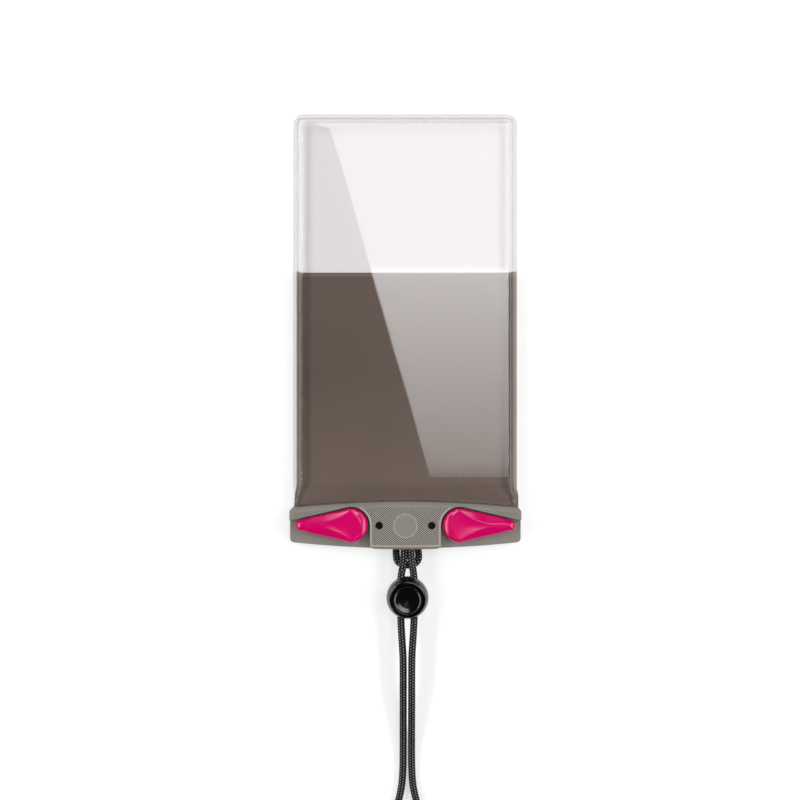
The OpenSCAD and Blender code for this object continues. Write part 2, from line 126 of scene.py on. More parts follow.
def clearMaterial(name, tint, milkiness, index, roughness, waveSize, waveHeight):
    """Clear soft plastic: a transparent body with a little milk in it, and a gloss on its outward faces that grows
    at grazing angles."""
    material, n, l = newMaterial(name)
    where = addNode(n, "ShaderNodeTexCoord")
    shape = addNode(n, "ShaderNodeNewGeometry")
    wave = addNode(n, "ShaderNodeTexNoise", {"Scale": waveSize, "Detail": 1.5})
    bump = addNode(n, "ShaderNodeBump", {"Strength": waveHeight, "Distance": 0.001})
    through = addNode(n, "ShaderNodeBsdfTransparent", {"Color": (*tint, 1.0)})
    milk = addNode(n, "ShaderNodeBsdfDiffuse", {"Color": (0.78, 0.76, 0.75, 1.0)})
    gloss = addNode(n, "ShaderNodeBsdfGlossy", {"Color": (1.0, 1.0, 1.0, 1.0), "Roughness": roughness})
    fresnel = addNode(n, "ShaderNodeFresnel", {"IOR": index})
    outward = math(n, l, "SUBTRACT", 1.0, shape.outputs["Backfacing"])
    weight = math(n, l, "MULTIPLY", fresnel.outputs["Fac"], outward)
    hazy = addNode(n, "ShaderNodeMixShader", {"Fac": milkiness})
    shiny = addNode(n, "ShaderNodeMixShader")
    out = addNode(n, "ShaderNodeOutputMaterial")
    l.new(where.outputs["Object"], wave.inputs["Vector"])
    l.new(wave.outputs["Fac"], bump.inputs["Height"])
    l.new(bump.outputs["Normal"], gloss.inputs["Normal"])
    l.new(through.outputs["BSDF"], hazy.inputs[1])
    l.new(milk.outputs["BSDF"], hazy.inputs[2])
    l.new(weight, shiny.inputs["Fac"])
    l.new(hazy.outputs["Shader"], shiny.inputs[1])
    l.new(gloss.outputs["BSDF"], shiny.inputs[2])
    l.new(shiny.outputs["Shader"], out.inputs["Surface"])
    return material


# Pouch sizes in millimetres, as in the frame
pouch = {"width": 105.5, "top": 102.05, "clampTop": -80.05, "bead": 2.3, "film": 0.5, "height": 11.5, "weld": 5.5,
         "corner": 5.0, "swell": 2.8, "taper": 8.5, "power": 2.4, "mouth": 5.5, "bowRadius": 487.5,
         "panelTop": 27.95, "lap": 1.8, "flare": 1.9}


def greyPanelMaterial():
    """Grey-taupe backing film: soft mottling, fine pebbled grain, a paler band where the lap weld is, and painted light
    that makes it paler towards the clamp.
    """
    material, n, l = newMaterial("greyPanel")
    where = addNode(n, "ShaderNodeTexCoord")
    parts = addNode(n, "ShaderNodeSeparateXYZ")
    mottle = addNode(n, "ShaderNodeTexNoise", {"Scale": 25.0, "Detail": 5.0, "Roughness": 0.55})
    grain = addNode(n, "ShaderNodeTexNoise", {"Scale": 2600.0, "Detail": 2.0})
    tone = ramp(n, [(0.3, (0.120, 0.083, 0.063)), (0.7, (0.138, 0.097, 0.075))])
    band = addNode(n, "ShaderNodeMapRange", {
        "From Min": (pouch["panelTop"] - pouch["lap"] - 0.1) * mm,
        "From Max": (pouch["panelTop"] - pouch["lap"] + 0.1) * mm})
    pale = addNode(n, "ShaderNodeMixRGB", {"Color2": (0.26, 0.205, 0.165, 1.0)})
    # Painted light: from 20 mm to 78 mm below the origin, towards the clamp, the panel's colour is mixed up to half way
    # to a paler taupe.
    low = addNode(n, "ShaderNodeMapRange", {"From Min": -0.02, "From Max": -0.078, "To Max": 0.5})
    paintedLightLow = addNode(n, "ShaderNodeMixRGB", {"Color2": (0.24, 0.18, 0.145, 1.0)})
    bump = addNode(n, "ShaderNodeBump", {"Strength": 0.25, "Distance": 0.00005})
    surface = addNode(n, "ShaderNodeBsdfPrincipled", {"Roughness": 0.4, "Specular IOR Level": 0.3})
    out = addNode(n, "ShaderNodeOutputMaterial")
    for texture in (mottle, grain):
        l.new(where.outputs["Object"], texture.inputs["Vector"])
    l.new(where.outputs["Object"], parts.inputs["Vector"])
    l.new(parts.outputs["Y"], band.inputs["Value"])
    l.new(mottle.outputs["Fac"], tone.inputs["Fac"])
    l.new(parts.outputs["Y"], low.inputs["Value"])
    l.new(low.outputs["Result"], paintedLightLow.inputs["Fac"])
    l.new(tone.outputs["Color"], paintedLightLow.inputs["Color1"])
    l.new(paintedLightLow.outputs["Color"], pale.inputs["Color1"])
    l.new(band.outputs["Result"], pale.inputs["Fac"])
    l.new(grain.outputs["Fac"], bump.inputs["Height"])
    l.new(pale.outputs["Color"], surface.inputs["Base Color"])
    l.new(bump.outputs["Normal"], surface.inputs["Normal"])
    l.new(surface.outputs["BSDF"], out.inputs["Surface"])
    return material


def cordMaterial():
    """Black braid. UV counts plait cells along and around the cord; their sum and difference number two families of
    strands. Each strand runs over two of the others
    and under two, shifted by one from its neighbour, and every visible run is a ridge sin(across) times a dome
    sin(along). The colour follows that height:
    painted highlights as pale glints on the crowns of the runs, and painted shade, near black, in the low parts between
    them."""
    material, n, l = newMaterial("blackBraid")
    uv = addNode(n, "ShaderNodeUVMap", uv_map="along")
    parts = addNode(n, "ShaderNodeSeparateXYZ")
    l.new(uv.outputs["UV"], parts.inputs["Vector"])
    families = [math(n, l, kind, parts.outputs["Y"], parts.outputs["X"]) for kind in ("ADD", "SUBTRACT")]
    runs = []
    for own, other, sign in ((families[0], families[1], 1.0), (families[1], families[0], -1.0)):
        across = math(n, l, "SINE", math(n, l, "MULTIPLY", math(n, l, "FRACT", own), np.pi))
        place = math(n, l, "FRACT", math(n, l, "MULTIPLY", math(n, l, "ADD", other, math(n, l, "FLOOR", own)), 0.25))
        dome = math(n, l, "MULTIPLY", math(n, l, "SINE", math(n, l, "MULTIPLY", place, 2 * np.pi)), sign)
        dome = math(n, l, "POWER", math(n, l, "MAXIMUM", dome, 0.0), 0.5)
        runs.append(math(n, l, "MULTIPLY", math(n, l, "POWER", across, 0.8), dome))
    height = math(n, l, "MAXIMUM", runs[0], runs[1])
    fibres = addNode(n, "ShaderNodeTexNoise", {"Scale": 14.0, "Detail": 3.0, "Roughness": 0.7})
    l.new(uv.outputs["UV"], fibres.inputs["Vector"])
    uneven = math(n, l, "ADD", height, math(n, l, "MULTIPLY", fibres.outputs["Fac"], 0.15))
    # Painted highlight and shade: crowns of the runs go pale grey as glints, the low parts near black.
    tone = ramp(n, [(0.68, shade(0.0010)), (0.90, shade(0.012)), (1.0, shade(0.34))])
    bump = addNode(n, "ShaderNodeBump", {"Strength": 0.9, "Distance": 0.0004})
    surface = addNode(n, "ShaderNodeBsdfPrincipled", {"Roughness": 0.4, "Specular IOR Level": 0.25})
    out = addNode(n, "ShaderNodeOutputMaterial")
    l.new(uneven, tone.inputs["Fac"])
    l.new(uneven, bump.inputs["Height"])
    l.new(tone.outputs["Color"], surface.inputs["Base Color"])
    l.new(bump.outputs["Normal"], surface.inputs["Normal"])
    l.new(surface.outputs["BSDF"], out.inputs["Surface"])
    return material


def webbingMaterial():
    """Black webbing: UV in millimetres along and across; a plain weave of rounded cells, height sin by sin. The colour
    follows that height: painted sheen on the crowns and painted shade in the hollows.
    """
    material, n, l = newMaterial("webbing")
    uv = addNode(n, "ShaderNodeUVMap", uv_map="along")
    parts = addNode(n, "ShaderNodeSeparateXYZ")
    l.new(uv.outputs["UV"], parts.inputs["Vector"])
    waves = [math(n, l, "SINE", math(n, l, "MULTIPLY", parts.outputs[axis], 2 * np.pi / size))
             for axis, size in (("X", 1.1), ("Y", 0.8))]
    weave = math(n, l, "ABSOLUTE", math(n, l, "MULTIPLY", waves[0], waves[1]))
    fibres = addNode(n, "ShaderNodeTexNoise", {"Scale": 6.0, "Detail": 4.0, "Roughness": 0.7})
    l.new(uv.outputs["UV"], fibres.inputs["Vector"])
    uneven = math(n, l, "ADD", weave, math(n, l, "MULTIPLY", fibres.outputs["Fac"], 0.4))
    # Painted sheen and shade: weave crowns paler, hollows darker.
    tone = ramp(n, [(0.2, shade(0.003)), (1.0, shade(0.045))])
    bump = addNode(n, "ShaderNodeBump", {"Strength": 0.8, "Distance": 0.0002})
    surface = addNode(n, "ShaderNodeBsdfPrincipled", {"Roughness": 0.6, "Specular IOR Level": 0.3})
    out = addNode(n, "ShaderNodeOutputMaterial")
    l.new(uneven, tone.inputs["Fac"])
    l.new(uneven, bump.inputs["Height"])
    l.new(tone.outputs["Color"], surface.inputs["Base Color"])
    l.new(bump.outputs["Normal"], surface.inputs["Normal"])
    l.new(surface.outputs["BSDF"], out.inputs["Surface"])
    return material


def ribbedJawMaterial():
    """Grey moulded plastic of the front jaw with painted light and shade for its ribs: painted shade in the grooves,
    which are its flat faces just below the front face, and in stripes painted over the wings' ribs, and a painted
    highlight on the top faces of the ribbed part; the round pad and the smooth raised band keep the plain colour, so
    they look darker than the rib tops."""
    material = moulded("jawRibbed", (0.245, 0.225, 0.200), 0.92, 1.08, 0.45, 0.35, 2400.0, 0.3)
    n, l = material.node_tree.nodes, material.node_tree.links
    surface = next(node for node in n if node.type == "BSDF_PRINCIPLED")
    base = surface.inputs["Base Color"].links[0].from_socket
    where = addNode(n, "ShaderNodeTexCoord")
    shape = addNode(n, "ShaderNodeNewGeometry")
    place, facing = addNode(n, "ShaderNodeSeparateXYZ"), addNode(n, "ShaderNodeSeparateXYZ")
    l.new(where.outputs["Object"], place.inputs["Vector"])
    l.new(shape.outputs["Normal"], facing.inputs["Vector"])
    # Painted shade: the groove floors, flat faces just below the front face, are mixed to the near-black `dark` colour.
    below = math(n, l, "LESS_THAN", place.outputs["Z"], (front["face"] - 0.05) * mm)
    above = math(n, l, "GREATER_THAN", place.outputs["Z"], (front["face"] - front["groove"] - 0.05) * mm)
    flat = math(n, l, "GREATER_THAN", facing.outputs["Z"], 0.95)
    groove = math(n, l, "MULTIPLY", math(n, l, "MULTIPLY", below, above), flat)
    square = math(n, l, "MULTIPLY", place.outputs["X"], place.outputs["X"])
    bowed = math(n, l, "ADD", place.outputs["Y"], math(n, l, "MULTIPLY", square, 0.5 / (pouch["bowRadius"] * mm)))
    ribbed = math(n, l, "LESS_THAN", bowed, (pouch["clampTop"] - front["band"]) * mm)
    onTop = math(n, l, "GREATER_THAN", place.outputs["Z"], (front["face"] - 0.05) * mm)
    # Painted highlight: the top faces of the ribbed part, away from the pad, get a paler grey.
    pale = addNode(n, "ShaderNodeMixRGB", {"Color2": (0.370, 0.342, 0.303, 1.0)})
    dark = addNode(n, "ShaderNodeMixRGB", {"Color2": (0.022, 0.020, 0.017, 1.0)})
    fromPad = math(n, l, "SQRT", math(n, l, "ADD", square, math(
        n, l, "POWER", math(n, l, "ABSOLUTE", math(n, l, "SUBTRACT", place.outputs["Y"], front["middle"] * mm)), 2.0)))
    offPad = math(n, l, "GREATER_THAN", fromPad, (front["pad"] - 0.45) * mm)
    l.new(math(n, l, "MULTIPLY", math(n, l, "MULTIPLY", ribbed, onTop), offPad), pale.inputs["Fac"])
    l.new(base, pale.inputs["Color1"])
    # Painted shade: dark stripes over the wings' rib tops, at the pitch, lean and phase of the modelled grooves, at 85%
    # strength.
    sideways = math(n, l, "SUBTRACT", math(n, l, "ABSOLUTE", place.outputs["X"]), front["wing"] * mm)
    upward = math(n, l, "SUBTRACT", place.outputs["Y"], front["middle"] * mm)
    across = math(n, l, "SUBTRACT", math(n, l, "MULTIPLY", upward, np.cos(front["lean"])),
                  math(n, l, "MULTIPLY", sideways, np.sin(front["lean"])))
    wingStripeShade = math(n, l, "FRACT", math(n, l, "ADD", math(n, l, "DIVIDE", across, front["pitch"] * mm), 0.23))
    onWing = math(n, l, "GREATER_THAN", sideways, (front["ribEnd"] - front["wing"]) * mm)
    wingStripeShade = math(n, l, "MULTIPLY", math(n, l, "LESS_THAN", wingStripeShade, 0.46), math(n, l, "MULTIPLY", onWing, onTop))
    wingStripeShade = math(n, l, "MULTIPLY", math(n, l, "MULTIPLY", wingStripeShade, ribbed), 0.85)
    l.new(math(n, l, "MAXIMUM", groove, wingStripeShade), dark.inputs["Fac"])
    l.new(pale.outputs["Color"], dark.inputs["Color1"])
    l.new(dark.outputs["Color"], surface.inputs["Base Color"])
    return material


# Front jaw: heights of its face and of the grooves between its ribs
front = {"face": 14.0, "groove": 0.3, "band": 2.1, "middle": -91.05, "pad": 5.6, "pitch": 0.785, "lean": np.radians(40),
         "ribEnd": 24.6, "wing": 39.3}

looks = {
    "clearFront": clearMaterial("clearFront", (0.962, 0.955, 0.957), 0.01, 1.9, 0.02, 22.0, 0.03),
    "clearBack": clearMaterial("clearBack", (0.962, 0.955, 0.957), 0.01, 1.4, 0.08, 22.0, 0.04),
    "clearBead": clearMaterial("clearBead", (0.95, 0.945, 0.945), 0.3, 1.55, 0.1, 45.0, 0.3),
    "greyPanel": greyPanelMaterial(),
    "jawRibbed": ribbedJawMaterial(),
    "jawGrey": moulded("jawGrey", (0.180, 0.170, 0.155), 0.92, 1.08, 0.45, 0.35, 2400.0, 0.3),
    "leverPink": moulded("leverPink", (0.63, 0.0004, 0.118), 0.97, 1.03, 0.16, 0.05, 1500.0, 0.45),
    "blackPlastic": moulded("blackPlastic", (0.004, 0.004, 0.004), 0.8, 1.2, 0.2, 0.2, 1800.0, 0.4),
    "lockBlack": moulded("lockBlack", (0.002, 0.002, 0.002), 0.8, 1.25, 0.13, 0.1, 1800.0, 0.7),
    "sealRubber": moulded("sealRubber", (0.02, 0.02, 0.02), 0.85, 1.15, 0.6, 0.4, 1500.0),
    "springWire": moulded("springWire", (0.55, 0.55, 0.56), 0.95, 1.05, 0.25, 0.1, 4000.0),
    "webbing": webbingMaterial(),
    "blackBraid": cordMaterial(),
}


# Meshes from whole arrays
def addPiece(name, points, faces, look, body, cornerUv=None):
    """Points in millimetres and faces become an object at the origin that rides on a body."""
    mesh = bpy.data.meshes.new(name)
    mesh.from_pydata((points * mm).tolist(), [], [list(f) for f in faces])
    mesh.polygons.foreach_set("use_smooth", np.ones(len(mesh.polygons), dtype=bool))
    if cornerUv is not None:
        mesh.uv_layers.new(name="along").data.foreach_set("uv", cornerUv.ravel())
    mesh.materials.append(looks[look])
    mesh.update()
    piece = bpy.data.objects.new(name, mesh)
    bpy.context.scene.collection.objects.link(piece)
    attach(piece, body)
    return piece


def quads(rows, columns, wrap=False):
    """Corner numbers of every quad in a grid of rows by columns; wrap joins the last column to the first."""
    i = np.arange(rows - 1)[:, None]
    j = np.arange(columns if wrap else columns - 1)[None, :]
    k = (j + 1) % columns
    return np.stack([i * columns + j, i * columns + k, (i + 1) * columns + k, (i + 1) * columns + j], -1).reshape(-1, 4)


def shell(outer, inner):
    """Closed shell of two equal grids: both faces and the four strips that join their edges."""
    rows, columns = outer.shape[:2]
    first = quads(rows, columns)
    second = quads(rows, columns)[:, ::-1] + rows * columns
    ring = np.concatenate([
        np.arange(columns - 1), np.arange(rows - 1) * columns + columns - 1,
        (rows - 1) * columns + np.arange(columns - 1, 0, -1), np.arange(rows - 1, 0, -1) * columns])
    after = np.roll(ring, -1)
    edge = np.stack([after, ring, ring + rows * columns, after + rows * columns], -1)
    return np.concatenate([outer.reshape(-1, 3), inner.reshape(-1, 3)]), np.concatenate([first, second, edge])


def smoothStep(s):
    s = np.clip(s, 0.0, 1.0)
    return s * s * (3 - 2 * s)


# Cord: route in millimetres, as in the frame's own solids
cord = {
    "radius": 1.75, "around": 8, "cell": 1.3, "relief": 0.26, "step": 0.3, "sides": 36, "centre": 1.0,
    "left": [(-1.5, -112, 9.9), (-2.2, -117, 9.9), (-2.3, -124.9, 9.9), (-2.2, -132, 9.9), (-1.8, -141, 9.9),
             (-1.1, -152, 9.9), (-1, -162, 9.9), (-1, -172, 8.8), (-1, -184, 5.6), (-1, -196, 2.9),
             (-1.1, -207, 1.8), (-1.8, -216, 1.8), (-4.2, -225.5, 1.8), (-9.5, -235, 2.1), (-14.3, -242, 2.6)],
    "right": [(3.6, -112, 9.9), (4.2, -117, 9.9), (4.3, -124.9, 9.9), (4.2, -132, 9.9), (3.8, -141, 9.9),
              (3.1, -152, 9.9), (3, -162, 9.9), (3, -172, 8.8), (3, -184, 5.6), (3, -196, 2.9),
              (3.1, -207, 1.8), (3.8, -216, 1.8), (6.1, -225, 2.6), (9.4, -232.5, 4.4), (12.1, -238.2, 5.8),
              (14.2, -245, 6.2)],
    "hitch": [(-1.5, -112, 9.9), (-0.95, -109, 9.9), (-0.62, -105, 9.6), (-0.7, -99.5, 9.1), (-1.3, -95.3, 7.8),
              (-2, -94.5, 4.6), (-2.9, -97.6, 2), (-4.1, -101.2, 2.4), (-4.25, -105.5, 4.4), (-3.3, -108.8, 5.9),
              (0, -110, 6.2), (3.4, -110, 6.2), (5.9, -108, 5.8), (6.2, -105, 4.4), (5.4, -101.4, 2.4),
              (4.7, -97.6, 2), (4, -94.5, 4.6), (3.4, -95.3, 7.8), (2.7, -99.5, 9.1), (2.62, -105, 9.6),
              (3.05, -109, 9.9), (3.6, -112, 9.9)],
}
hank = {"y": -256.0, "run": 52.0, "floor": 2.65, "second": 3.1, "hump": 3.6}


def curveThrough(points, perSpan=12):
    """Catmull-Rom curve through the points: each span blends its four neighbours with cubic weights."""
    p = np.array(points, float)
    a, b, c, d = p[np.maximum(np.arange(len(p) - 1) - 1, 0)], p[:-1], p[1:], p[np.minimum(np.arange(2, len(p) + 1), len(p) - 1)]
    t = (np.arange(perSpan) / perSpan)[None, :, None]
    a, b, c, d = (v[:, None, :] for v in (a, b, c, d))
    curve = 0.5 * (2 * b + (c - a) * t + (2 * a - 5 * b + 4 * c - d) * t ** 2 + (3 * b - a - 3 * c + d) * t ** 3)
    return np.concatenate([curve.reshape(-1, 3), p[-1:]])


def hankRoute():
    """Spare cord wound as a long flat oval: straight runs joined by half circles whose radius creeps inwards,
    and a last turn that climbs onto the others."""
    top = hank["y"]
    low = hank["y"] - hank["run"]
    floor, over = hank["floor"], hank["floor"] + hank["second"]

    def run(x, y0, y1, z):
        s = np.linspace(0, 1, 30, endpoint=False)
        return np.stack([np.full_like(s, x), y0 + (y1 - y0) * s, np.full_like(s, z)], -1)

    def fold(y, a0, a1, r0, r1, z0, z1):
        s = np.linspace(0, 1, 40, endpoint=False)
        r = r0 + (r1 - r0) * smoothStep(s)
        a = np.radians(a0 + (a1 - a0) * s)
        hump = (hank["hump"] - hank["second"]) * np.sin(np.pi * s) * (z1 > z0)
        z = z0 + (z1 - z0) * smoothStep(s * 2.2) + hump
        return np.stack([cord["centre"] + r * np.cos(a), y + r * np.sin(a), z], -1)

    centre = cord["centre"]
    return np.concatenate([
        run(centre - 17.5, top, low, floor), fold(low, 180, 360, 17.5, 15.75, floor, floor),
        run(centre + 15.75, low, top, floor), fold(top, 0, 180, 15.75, 14.0, floor, floor),
        run(centre - 14.0, top, low, floor), fold(low, 180, 360, 14.0, 12.25, floor, floor),
        run(centre + 12.25, low, top, floor), fold(top, 0, 180, 12.25, 10.5, floor, floor),
        run(centre - 10.5, top, low, floor), fold(low, 180, 360, 10.5, 14.0, floor, over),
        run(centre + 14.0, low, top, over)])


def evenSteps(path, step):
    """The same route with its points a fixed length apart."""
    length = np.concatenate([[0.0], np.cumsum(np.linalg.norm(np.diff(path, axis=0), axis=1))])
    marks = np.linspace(0.0, length[-1], int(round(length[-1] / step)) + 1)
    return np.stack([np.interp(marks, length, path[:, k]) for k in range(3)], -1), marks


def softened(path, passes):
    """Each pass moves every point halfway to the middle of its neighbours; the ends stay."""
    for turn in range(passes):
        path = path.copy()
        path[1:-1] = 0.5 * path[1:-1] + 0.25 * (path[:-2] + path[2:])
    return path


def carriedFrames(path):
    """Tangents, and a side vector carried along the path so that the tube never twists."""
    tangent = np.gradient(path, axis=0)
    tangent /= np.linalg.norm(tangent, axis=1)[:, None]
    side = np.zeros_like(tangent)
    current = np.cross(tangent[0], (0.0, 0.0, 1.0))
    for i, t in enumerate(tangent):
        current = current - t * current.dot(t)
        current = current / np.linalg.norm(current)
        side[i] = current
    return tangent, side, np.cross(tangent, side)


def braidHeight(along, around):
    """The plait of cordMaterial as a height from 0 to 1, from the same two cell counts."""
    sums, differences = around + along, around - along
    height = np.zeros_like(sums)
    for own, other, sign in ((sums, differences, 1), (differences, sums, -1)):
        dome = np.maximum(sign * np.sin(np.pi / 2 * (other + np.floor(own))), 0) ** 0.5
        height = np.maximum(height, np.sin(np.pi * (own % 1.0)) ** 0.8 * dome)
    return height


def tubeSurface(path, radius, sides):
    """Rings round the path, quads between them, and each quad's corners as fractions of the turn."""
    side, up = carriedFrames(path)[1:]
    angle = np.arange(sides) * 2 * np.pi / sides
    ring = np.cos(angle)[None, :, None] * side[:, None, :] + np.sin(angle)[None, :, None] * up[:, None, :]
    points = (path[:, None, :] + radius[..., None] * ring).reshape(-1, 3)
    return points, quads(len(path), sides, wrap=True)[:, ::-1]


def braidedTube(name, path, body):
    """Tube along the path whose radius follows the plait; a point at each end closes it."""
    path, s = evenSteps(path, cord["step"])
    sides, count = cord["sides"], len(path)
    along, around = s / cord["cell"], np.arange(sides + 1) * cord["around"] / sides
    height = braidHeight(along[:, None], around[None, :-1])
    points, faces = tubeSurface(path, cord["radius"] + 0.05 - cord["relief"] * (1 - height), sides)
    j = np.arange(sides)
    k = (j + 1) % sides
    last = (count - 1) * sides
    caps = np.concatenate([np.stack([np.full_like(j, len(points)), k, j], -1),
                           np.stack([np.full_like(j, len(points) + 1), j + last, k + last], -1)])
    grid = np.stack(np.meshgrid(along, around, indexing="ij"), -1)
    cornerUv = np.stack([grid[1:, :-1], grid[1:, 1:], grid[:-1, 1:], grid[:-1, :-1]], 2).reshape(-1, 2)
    cornerUv = np.concatenate([cornerUv, np.zeros((caps.size, 2))])
    points = np.concatenate([points, path[:1], path[-1:]])
    return addPiece(name, points, faces.tolist() + caps.tolist(), "blackBraid", body, cornerUv), path, s[-1]


def makeCord(hankStrap):
    left = curveThrough(cord["left"])
    right = curveThrough(cord["right"])[::-1]
    route = softened(evenSteps(np.concatenate([left, hankRoute(), right]), cord["step"])[0], 60)
    piece, path, length = braidedTube("neckCord", route, "case")
    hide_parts("cord_left", "cord_right", "cord_hank")
    hitch, hitchPath, hitchLength = braidedTube("cordHitch", curveThrough(cord["hitch"]), "case")
    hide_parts("cord_hitch")
    print("cord length", round(length), "mm, hitch", round(hitchLength), "mm")


# Strap round the hank: x and z of its inner side, which lies on the one layer of cord on the left and rises over
# the two layers on the right; `tab` is the stitched end on top, from one x to the other
strap = {"y": -282.0, "width": 10.0, "thick": 0.7, "tab": (-9.0, 4.0), "tabThick": 0.5,
         "inner": [(-17.2, 0.85), (0, 0.8), (17.4, 0.85), (18.6, 2.0), (18.65, 4.5), (17.6, 7.0), (15.5, 7.75),
                   (13.0, 7.6), (7, 6.3), (-2, 5.1), (-9, 4.65), (-16.4, 4.6), (-18.2, 3.6), (-18.5, 2.2)]}


def bandAlong(line, outward, low, high, closed):
    """Flat band swept along a line in x and z. Its section is a rounded bar from `low` to `high` outside the line."""
    half = strap["width"] / 2
    across = np.array([-half, -half + 0.25, 0, half - 0.25, half, half, half - 0.25, 0, -half + 0.25, -half])
    lift = np.array([0.3, 1, 1, 1, 0.3, -0.3, -1, -1, -1, -0.3])
    height = (low + high) / 2 + lift * (high - low) / 2
    spot = line[:, None, :] + outward[:, None, :] * height[None, :, None]
    points = np.stack([spot[..., 0], strap["y"] + across[None, :] + 0 * spot[..., 0], spot[..., 1]], -1)
    count, columns = points.shape[:2]
    grid = np.concatenate([points, points[:1]]) if closed else points
    faces = quads(len(grid), columns, wrap=True) % (count * columns)
    s = np.concatenate([[0], np.cumsum(np.linalg.norm(np.diff(grid[:, 2], axis=0), axis=1))])
    u = np.repeat(s, columns).reshape(len(s), columns)
    v = np.concatenate([across[:5], across[5:]])[None, :] + 0 * u
    nextV = np.roll(v, -1, axis=1)
    corners = np.stack([np.stack([u[:-1], v[:-1]], -1), np.stack([u[:-1], nextV[:-1]], -1),
                        np.stack([u[1:], nextV[1:]], -1), np.stack([u[1:], v[1:]], -1)], 2).reshape(-1, 2)
    faces = faces.tolist()
    if not closed:
        faces += [list(range(columns))[::-1], [(count - 1) * columns + j for j in range(columns)]]
        corners = np.concatenate([corners, np.zeros((2 * columns, 2))])
    return points.reshape(-1, 3), faces, corners


def makeStrap():
    knots = np.array([(x, 0.0, z) for x, z in strap["inner"]])
    smooth = curveThrough(np.concatenate([knots[-2:], knots, knots[:3]]), 10)[20:-20]
    line = evenSteps(smooth, 0.4)[0][:-1][:, [0, 2]]
    along = np.roll(line, -1, axis=0) - np.roll(line, 1, axis=0)
    outward = np.stack([along[:, 1], -along[:, 0]], -1) / np.linalg.norm(along, axis=1)[:, None]
    points, faces, corners = bandAlong(line, outward, 0.0, strap["thick"], True)
    onTop = (line[:, 1] > 4) & (line[:, 0] > strap["tab"][0]) & (line[:, 0] < strap["tab"][1])
    more, moreFaces, moreCorners = bandAlong(line[onTop], outward[onTop], strap["thick"] + 0.03,
                                             strap["thick"] + strap["tabThick"], False)
    faces = faces + [[k + len(points) for k in face] for face in moreFaces]
    piece = addPiece("hankStrap", np.concatenate([points, more]), faces, "webbing", "case",
                     np.concatenate([corners, moreCorners]))
    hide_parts("hank_strap")
    return piece


makeCord(makeStrap())


# Pouch sheets
def bulge(f):
    """Quarter ellipse from 0 at the weld to 1 at full height."""
    return np.sqrt(np.maximum(0.0, 1 - (1 - f) ** 2))


def clusteredShares(count):
    """Shares from 0 to 1 that lie closest together near the weld."""
    s = np.linspace(0, 1, count)
    return 1 - np.cos(np.pi / 2 * s)


def sheetColumns():
    f = clusteredShares(22)
    m = np.linspace(0, 1, 20)[1:]
    side = np.concatenate([-np.ones(len(f) + len(m)), np.ones(len(f) + len(m) - 1)])
    shareIn = np.concatenate([f, np.ones(len(m)), np.ones(len(m) - 1), f[::-1]])
    middle = np.concatenate([np.zeros(len(f)), m, m[-2::-1], np.zeros(len(f))])
    return side, shareIn, middle


def topRows(end):
    g = clusteredShares(22)
    return np.stack([end - g * pouch["swell"], g, np.ones_like(g), np.zeros_like(g)], -1)


def straightRows(start, end, count):
    y = np.linspace(start, end, count + 2)[1:-1]
    return np.stack([y, np.ones_like(y), np.ones_like(y), np.zeros_like(y)], -1)


def mouthRows():
    s = np.linspace(0, 1, 22)
    taper = np.stack([pouch["clampTop"] + 0.4 + pouch["taper"] * (1 - s), np.ones_like(s), smoothStep(1 - s),
                      np.zeros_like(s)], -1)
    return np.concatenate([taper, [[pouch["clampTop"] - pouch["mouth"], 1.0, 0.0, 0.0]]])


def sheetSurface(rows, half, up, full, skin):
    """x runs in from the weld by its share of the swell, z is the weld height plus or minus the full height
    times the two superellipses, and both narrow towards the clamp."""
    side, f, middle = sheetColumns()
    y, g, s, k = (rows[:, i][:, None] for i in range(4))
    flare = pouch["flare"] * smoothStep((pouch["clampTop"] + 7.0 - y) / 6.0)
    x = side * (half + flare - k - skin - f * (pouch["swell"] - skin)) * (1 - middle)
    height = (pouch["film"] - skin) + (full - pouch["film"]) * s - k
    z = pouch["weld"] + up * height * bulge(f) * bulge(g)
    yy = y - skin * (1 - g) - x ** 2 / (2 * pouch["bowRadius"]) * (1 - s)
    return np.stack([x, yy, z], -1)


def makeSheet(name, rows, half, up, full, look, node):
    outer = sheetSurface(rows, half, up, full, 0.0)
    inner = sheetSurface(rows, half, up, full, pouch["film"])
    points, faces = shell(outer, inner)
    if up > 0:
        faces = faces[:, ::-1]
    faces = faces[:, ::-1]
    piece = addPiece(name, points, faces, look, "case")
    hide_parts(node)
    return piece


def makePouch():
    halfIn = pouch["width"] / 2 - pouch["bead"]
    topIn = pouch["top"] - pouch["bead"]
    flat = topIn - pouch["swell"]
    foot = pouch["clampTop"] + pouch["taper"] + 0.4
    makeSheet("frontSheet", np.concatenate([topRows(topIn + 0.3), straightRows(flat, foot, 60), mouthRows()]),
              halfIn + 0.3, 1, pouch["height"] - pouch["weld"], "clearFront", "front_film")
    above = pouch["film"] + 0.1
    lapEnd = np.array([[pouch["panelTop"] + 0.9, 1, 1, 0], [pouch["panelTop"] + 0.1, 1, 1, above],
                       [pouch["panelTop"] - pouch["lap"], 1, 1, above]])
    makeSheet("backWindow", np.concatenate([topRows(topIn - 0.05), straightRows(flat, pouch["panelTop"] + 1, 24), lapEnd]),
              halfIn - 0.05, -1, pouch["weld"], "clearBack", "back_window")
    panel = np.concatenate([[[pouch["panelTop"], 1, 1, 0]], straightRows(pouch["panelTop"], foot, 40), mouthRows()])
    makeSheet("backPanel", panel, halfIn - 0.05, -1, pouch["weld"], "greyPanel", "back_panel")


